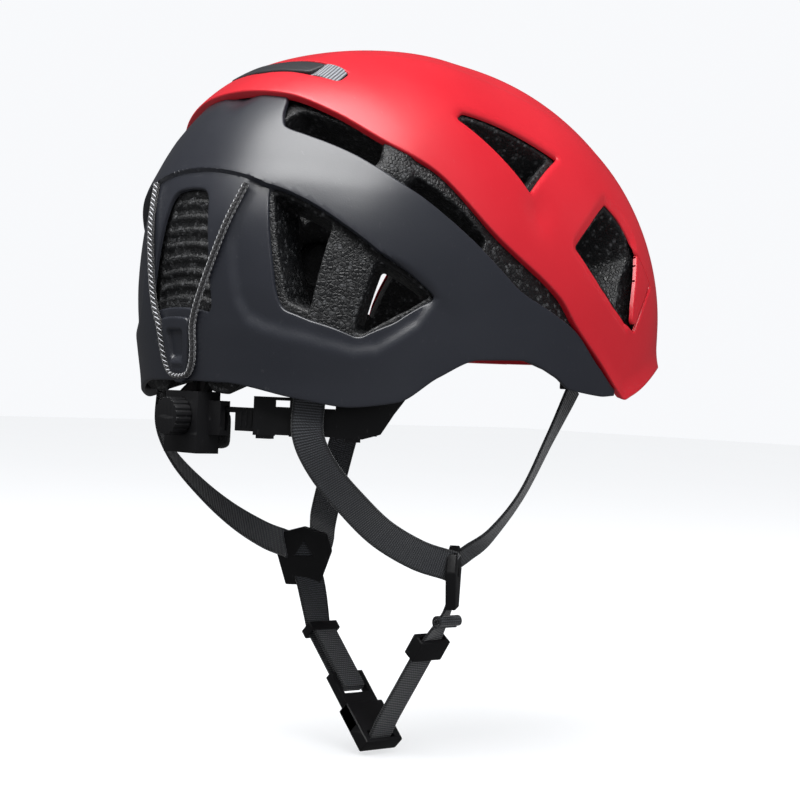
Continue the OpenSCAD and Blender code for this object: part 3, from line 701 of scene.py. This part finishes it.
FRONT_ROUTE = [[80, -45, -33], [78, -31, -59], [73, -18, -87], [65, -6, -107],
               [57, 1.5, -116.5], [53, 6, -121]]
FRONT_ACROSS = [[0.3, 0.95, 0], [0.45, 0.89, 0], [0.55, 0.83, 0.1], [0.62, 0.75, 0.25],
                [0.6, 0.6, 0.5], [0.5, 0.6, 0.62]]
REAR_ROUTE = [[59.4, 107.8, -42], [59.4, 107.8, -60], [60, 98, -76], [60, 80, -92],
              [59, 60, -106], [60.5, 38, -116.5], [64, 21, -121.5], [63.4, 17, -123]]
REAR_ACROSS = [[-0.7, 0.7, 0], [-0.7, 0.7, -0.05], [-0.7, 0.6, -0.37], [-0.66, 0.5, -0.57],
               [-0.55, 0.45, -0.7], [-0.4, 0.38, -0.83], [-0.25, 0.25, -0.93],
               [-0.2, 0.2, -0.95]]


def head_straps():
    """Four straps from the shell down to the ear dividers."""
    for s, side in ((1, "left"), (-1, "right")):
        ribbon("front_webbing_" + side, sides(FRONT_ROUTE, s), sides(FRONT_ACROSS, s),
               ["front_strap_" + side])
        ribbon("rear_webbing_" + side, sides(REAR_ROUTE, s), sides(REAR_ACROSS, s),
               ["rear_strap_" + side])


def on_buckle(p):
    """From the buckle's own axes, x along it and y across the webbing, to the frame."""
    t = np.radians(BUCKLE_SLOPE)
    p = np.atleast_2d(np.array(p, float))
    x, y, z = p.T
    return np.column_stack([BUCKLE_AT[0] - x * np.cos(t) - z * np.sin(t), BUCKLE_AT[1] + y,
                            BUCKLE_AT[2] - x * np.sin(t) + z * np.cos(t)])


def chin_straps():
    """Webbing below the dividers: both chin straps, the doubled loop and the rolled end."""
    threaded = on_buckle([[20.2, 0, 3.4], [20.4, 0, 0], [20.4, 0, -3.0]])
    ribbon("chin_webbing_right", [[-58.3, 11.8, -120], [-57.8, 12, -132], [-56, 12.5, -143.6],
                                  [-52.5, 13.5, -151], [-48.5, 14, -157.5], [-31, 14, -182.7],
                                  [-16.5, 14, -203.6]] + threaded.tolist(),
           [[-0.66, 0.75, 0]] * 2 + [[-0.6, 0.8, 0], [-0.3, 0.95, 0]] + [[0, 1, 0]] * 6,
           ["chin_strap_right"])
    ribbon("chin_webbing_left", [[58.3, 11.8, -120], [57.4, 11.6, -132], [53.6, 10.4, -142.6],
                                 [47, 12, -155.3], [41.5, 13.8, -165.6]],
           [[0.66, 0.75, 0], [0.66, 0.75, 0], [0.6, 0.8, 0], [0.3, 0.95, 0], [0, 1, 0]],
           ["chin_strap_left"])
    turn = [[-13 + 2.2 * np.sin(a), 0, 2.2 * np.cos(a)] for a in np.linspace(0, np.pi, 7)]
    loop = [[-50, 0, 2.2], [-32, 0, 2.2]] + turn + [[-32, 0, -2.2], [-50, 0, -2.2]]
    ribbon("chin_webbing_loop", on_buckle(loop), [[0, 1, 0]] * 2, width=15, thick=1.4)
    roll = [[-57.2 + r * np.cos(a), 13.5, -150 + r * np.sin(a)]
            for a, r in zip(np.linspace(-1.2, 10.5, 34), np.linspace(3.2, 0.7, 34))]
    ribbon("strap_roll", roll, [[0, 1, 0]] * 2, ["strap_tail"], thick=0.9)


CORD_LEFT = [[17.1, 65.1], [14.4, 74], [12.8, 82.8], [11.4, 89.6], [9.2, 94.2], [8.5, 98.5],
             [7.4, 101.6], [4.8, 103.6]]
CORD_RIGHT = [[-18.6, 65.8], [-17.2, 73.2], [-14.6, 81.3], [-10.8, 89.3], [-8.7, 94],
              [-8.5, 98.5], [-7.4, 101.6], [-4.8, 103.6]]


def tube(name, route, radius, body, mat, replaced=(), sides_=14):
    """Round tube along a route, with length and turn as its UV."""
    line = curve(route, 1.2)
    ahead = np.gradient(line, axis=0)
    ahead /= np.linalg.norm(ahead, axis=1)[:, None]
    side = np.cross(ahead, line)
    side /= np.linalg.norm(side, axis=1)[:, None]
    up = np.cross(ahead, side)
    length = np.arange(len(line)) * 1.2 * MM
    turn = np.linspace(0, 2 * np.pi, sides_, endpoint=False)
    ring = np.arange(sides_)
    points = (line[:, None] + radius * (np.cos(turn)[None, :, None] * side[:, None]
                                        + np.sin(turn)[None, :, None] * up[:, None]))
    uv = np.array([(s, k / sides_) for s in length for k in ring])
    faces = [(i * sides_ + k, (i + 1) * sides_ + k, (i + 1) * sides_ + (k + 1) % sides_,
              i * sides_ + (k + 1) % sides_)
             for i in range(len(line) - 1) for k in range(sides_)]
    faces += [tuple(ring)[::-1], tuple((len(line) - 1) * sides_ + ring)]
    obj = add_mesh(name, points.reshape(-1, 3), faces, body, mat, replaced, 60, uv)
    return obj, line


def rear_elastic():
    """Elastic cord from one upper hole, round the hook and back up to the other."""
    path = np.array(CORD_LEFT + [[0, 104.2]] + CORD_RIGHT[::-1])
    route = on(path, GREY_OUT + rear_profile(path) + 1.9)
    obj, line = tube("rear_elastic_cord", route, CORD_RADIUS, "helmet", elastic,
                     ["rear_cord"])


def crown_webbing():
    """Webbing that surfaces at both ends of the crown slot and dips under the inlay."""
    across = [[19.6, 36.6], [17, 37], [14.6, 37.3], [12, 37.6], [0, 38]]
    high = [RED_OUT - 2.2, RED_OUT - 0.9, RED_OUT - 0.9, RED_OUT - 2.6, RED_OUT - 3.6]
    half = on(across, np.array(high))
    route = np.vstack([half, half[-2::-1] * [-1, 1, 1]])
    ribbon("crown_webbing_patch", route, [[0, 0.8, -0.6]] * 2, ["crown_strap"], width=11,
           mat=pale_webbing)


def crown_inlay():
    """Smooth inlay that fills the middle of the crown slot, on the puck's place."""
    half = [[0, 35.7], [9.5, 35.4], [14.0, 35.3], [13.2, 39.5], [8.5, 40.2], [0, 40.4]]
    chart = Chart(across_middle(half, 1.2), (), 0.6, 1.2)
    skin("crown_inlay", chart, RED_OUT + 0.4, FOAM_OUT, "helmet", puck_grey)


def rear_hook():
    """Tab that holds the cord: a finger recess with a lip and two rows of grip dots."""
    half = [[0, 92.9], [7, 93], [6.8, 98], [5.6, 102], [4.4, 104.3], [2.2, 105.4], [0, 105.5]]
    chart = Chart(across_middle(half, 1.2), (), 0.3, 1.1)
    uv = chart.uv
    recess = rounded([[-4.7, 95], [4.7, 95], [3.6, 101.2], [-3.6, 101.2]], 1.6)
    offset = 2.9 - 1.9 * ease(within(uv, recess) / 2.2)
    across = ease((3.9 - abs(uv[:, 0])) / 1.0)
    offset += 0.7 * across * np.exp(-((uv[:, 1] - 101.7) / 0.5) ** 2)
    for v in (103.1, 104.1):
        for u in (-1.65, -0.55, 0.55, 1.65):
            far = np.hypot((uv[:, 0] - u) * 1.5, (uv[:, 1] - v) * 2.45)
            offset += 0.45 * np.exp(-(far / 0.5) ** 2)
    base = GREY_OUT + rear_profile(uv)
    skin("rear_cord_hook", chart, base + offset, base + 0.3, "cord_hook", grey,
         ["cord_hook"])


# ---------------------------------------------------------------- rigid fittings

def machined(node, body, mat, bevel=0.5, sharp=38):
    """Copy of a CAD solid with its faces joined and its edges rounded."""
    bm = bmesh.new()
    bm.from_mesh(nodes[node].data)
    bmesh.ops.remove_doubles(bm, verts=bm.verts, dist=2e-6)
    bmesh.ops.dissolve_limit(bm, angle_limit=np.radians(1.0), verts=bm.verts,
                             edges=bm.edges, delimit=set())
    edges = [e for e in bm.edges if len(e.link_faces) == 2
             and e.calc_face_angle(0) > np.radians(32)]
    if bevel:
        bmesh.ops.bevel(bm, geom=edges, offset=bevel * MM, segments=2, profile=0.6,
                        affect="EDGES", clamp_overlap=True)
    mesh = bpy.data.meshes.new(node + "_finished")
    bm.to_mesh(mesh)
    bm.free()
    obj = bpy.data.objects.new(node + "_finished", mesh)
    bpy.context.scene.collection.objects.link(obj)
    return settle(obj, body, mat, [node], sharp)


def fittings():
    """The suspension, buckle, dividers and other hard pieces, from their CAD solids."""
    for side in ("left", "right"):
        machined("headband_" + side, "headband_" + side, black, 0.25)
        machined("yoke_" + side, "suspension", black, 0.4)
        machined("divider_" + side, "helmet", black, 0.7)
    machined("adjuster_housing", "suspension", black, 0.7)
    machined("adjuster_dial", "dial", black, 0.3)
    machined("strut_frame", "suspension", black, 0.5)
    machined("yoke_pins", "helmet", black, 0.3)
    machined("front_anchors", "helmet", black, 0.6)
    machined("strap_keeper", "strap_keeper", black, 0.5)
    machined("strap_slider", "strap_slider", black, 0.6)
    machined("buckle_male", "helmet", black, 0.6)
    machined("buckle_female", "helmet", black, 1.0)
    for end in ("front", "rear"):
        machined("buckle_prong_" + end, "prong_" + end, black, 0.4)
    machined("crown_puck", "helmet", puck_grey, 0.0)


# ---------------------------------------------------------------- pads

def pad(node, body):
    """Covered foam pad: the CAD shape remeshed and swelled by a short cloth simulation."""
    obj = bpy.data.objects.new(node + "_cushion", nodes[node].data.copy())
    bpy.context.scene.collection.objects.link(obj)
    centre = sum((Vector(c) for c in obj.bound_box), Vector()) / 8
    for v in obj.data.vertices:
        v.co = centre + (v.co - centre) * 0.95
    mesh_step(obj, "REMESH", mode="VOXEL", voxel_size=PAD_VOXEL)
    rest = np.array([v.co for v in obj.data.vertices])
    cloth = obj.modifiers.new("Cloth", "CLOTH")
    cloth.settings.use_pressure = True
    cloth.settings.uniform_pressure_force = 4
    cloth.settings.effector_weights.gravity = 0
    for k in range(1, 21):
        bpy.context.scene.frame_set(k)
    freeze(obj)
    bpy.context.scene.frame_set(1)
    now = np.array([v.co for v in obj.data.vertices])
    move = now - rest
    far = np.linalg.norm(move, axis=1)[:, None].clip(1e-9)
    now = rest + move * np.minimum(1, PAD_SWELL / far)
    obj.data.vertices.foreach_set("co", now.ravel())
    mesh_step(obj, "SUBSURF", levels=1, render_levels=1)
    settle(obj, body, padding, [node])


def mesh_step(obj, kind, **settings):
    """Adds a modifier, sets it up and applies it."""
    modifier = obj.modifiers.new(kind, kind)
    for key, value in settings.items():
        setattr(modifier, key, value)
    freeze(obj)


def freeze(obj):
    """Replaces the mesh by what its modifiers make of it."""
    graph = bpy.context.evaluated_depsgraph_get()
    mesh = bpy.data.meshes.new_from_object(obj.evaluated_get(graph))
    obj.modifiers.clear()
    obj.data = mesh


# ---------------------------------------------------------------- room

def pale_floor():
    """Matt floor 2 mm below the model, which neither reflections nor bounced light see."""
    floor = bpy.data.meshes.new("floor")
    z = cad_box[0][2] - 0.002
    floor.from_pydata([(-6, -6, z), (6, -6, z), (6, 6, z), (-6, 6, z)], [], [(0, 1, 2, 3)])
    floor = bpy.data.objects.new("floor", floor)
    bpy.context.scene.collection.objects.link(floor)
    paint = Paint("pale_floor", (0.62, 0.625, 0.64), 0.9)
    paint.colour(paint.mix(paint.noise(3.0), (0.39, 0.395, 0.405), (0.41, 0.415, 0.425)))
    paint.bsdf.inputs["Emission Color"].default_value = (0.98, 0.99, 1.0, 1)
    paint.bsdf.inputs["Emission Strength"].default_value = 0.60
    floor.data.materials.append(paint.mat)
    floor.visible_glossy = floor.visible_diffuse = False


def background():
    """Even pale background, much weaker in gloss than to the camera."""
    world = bpy.data.worlds.new("studio") if not bpy.data.worlds else bpy.data.worlds[0]
    bpy.context.scene.world = world
    world.use_nodes = True
    tree = world.node_tree
    back = tree.nodes["Background"]
    back.inputs[0].default_value = (0.94, 0.95, 0.97, 1)
    path = tree.nodes.new("ShaderNodeLightPath").outputs
    seen, glossy = (tree.nodes.new("ShaderNodeMath") for _ in range(2))
    seen.operation = glossy.operation = "MULTIPLY_ADD"
    seen.inputs[1].default_value, seen.inputs[2].default_value = 0.4, 0.6
    glossy.inputs[1].default_value = -0.52
    tree.links.new(path["Is Camera Ray"], seen.inputs[0])
    tree.links.new(path["Is Glossy Ray"], glossy.inputs[0])
    tree.links.new(seen.outputs[0], glossy.inputs[2])
    tree.links.new(glossy.outputs[0], back.inputs["Strength"])
    bpy.context.scene.view_settings.view_transform = "Standard"


def camera_at_photo():
    """Camera to the rear on the wearer's right, at the photograph's angle."""
    t, e, roll = np.radians([48.572, -1.806, 2.362])
    away = Vector((-np.sin(t) * np.cos(e), np.cos(t) * np.cos(e), np.sin(e)))
    camera = bpy.data.objects.new("camera", bpy.data.cameras.new("camera"))
    bpy.context.scene.collection.objects.link(camera)
    place = away * STAND_OFF
    look = (place - Vector((0, 0, -0.0430))).normalized()
    right = Vector((0, 0, 1)).cross(look).normalized()
    up = look.cross(right)
    right, up = (right * np.cos(roll) + up * np.sin(roll),
                 up * np.cos(roll) - right * np.sin(roll))
    turn = Matrix((right, up, look)).transposed().to_4x4()
    camera.matrix_world = Matrix.Translation(place) @ turn
    camera.data.lens = LENS
    camera.data.sensor_width = 36
    camera.data.clip_start = 0.01
    bpy.context.scene.camera = camera


def lamps():
    """A large key lamp that shows in the gloss, and three that don't."""
    for name, kind, at, size, power, shine in (
            ("key", "AREA", (-0.26, 0.62, 1.28), 2.0, 44, True),
            ("side", "AREA", (-1.5, 0.2, 0.7), 0.9, 9, False),
            ("rim", "AREA", (-0.6, -1.5, 0.5), 0.6, 5, False),
            ("sky", "SUN", (0.2, 0.4, 2.0), 0.9, 0.75, False)):
        lamp = bpy.data.lights.new(name, kind)
        lamp.energy = power
        if kind == "SUN":
            lamp.angle = size
        else:
            lamp.size = size
            if shine:
                lamp.shape, lamp.size_y = "RECTANGLE", 1.1
        obj = bpy.data.objects.new(name, lamp)
        bpy.context.scene.collection.objects.link(obj)
        obj.location = at
        obj.rotation_euler = Vector(at).to_track_quat("Z", "Y").to_euler()
        obj.visible_glossy = shine


pale_floor()
background()
camera_at_photo()
lamps()
rear_elastic()
red_shell()
front_clips()
grey_shell()
bead_liner()
crown_inlay()
crown_webbing()
rear_hook()
head_straps()
chin_straps()
fittings()
for node in ("brow_pad", "crown_pad", "side_pad_left", "side_pad_right"):
    pad(node, "helmet")
pad("nape_pad", "suspension")
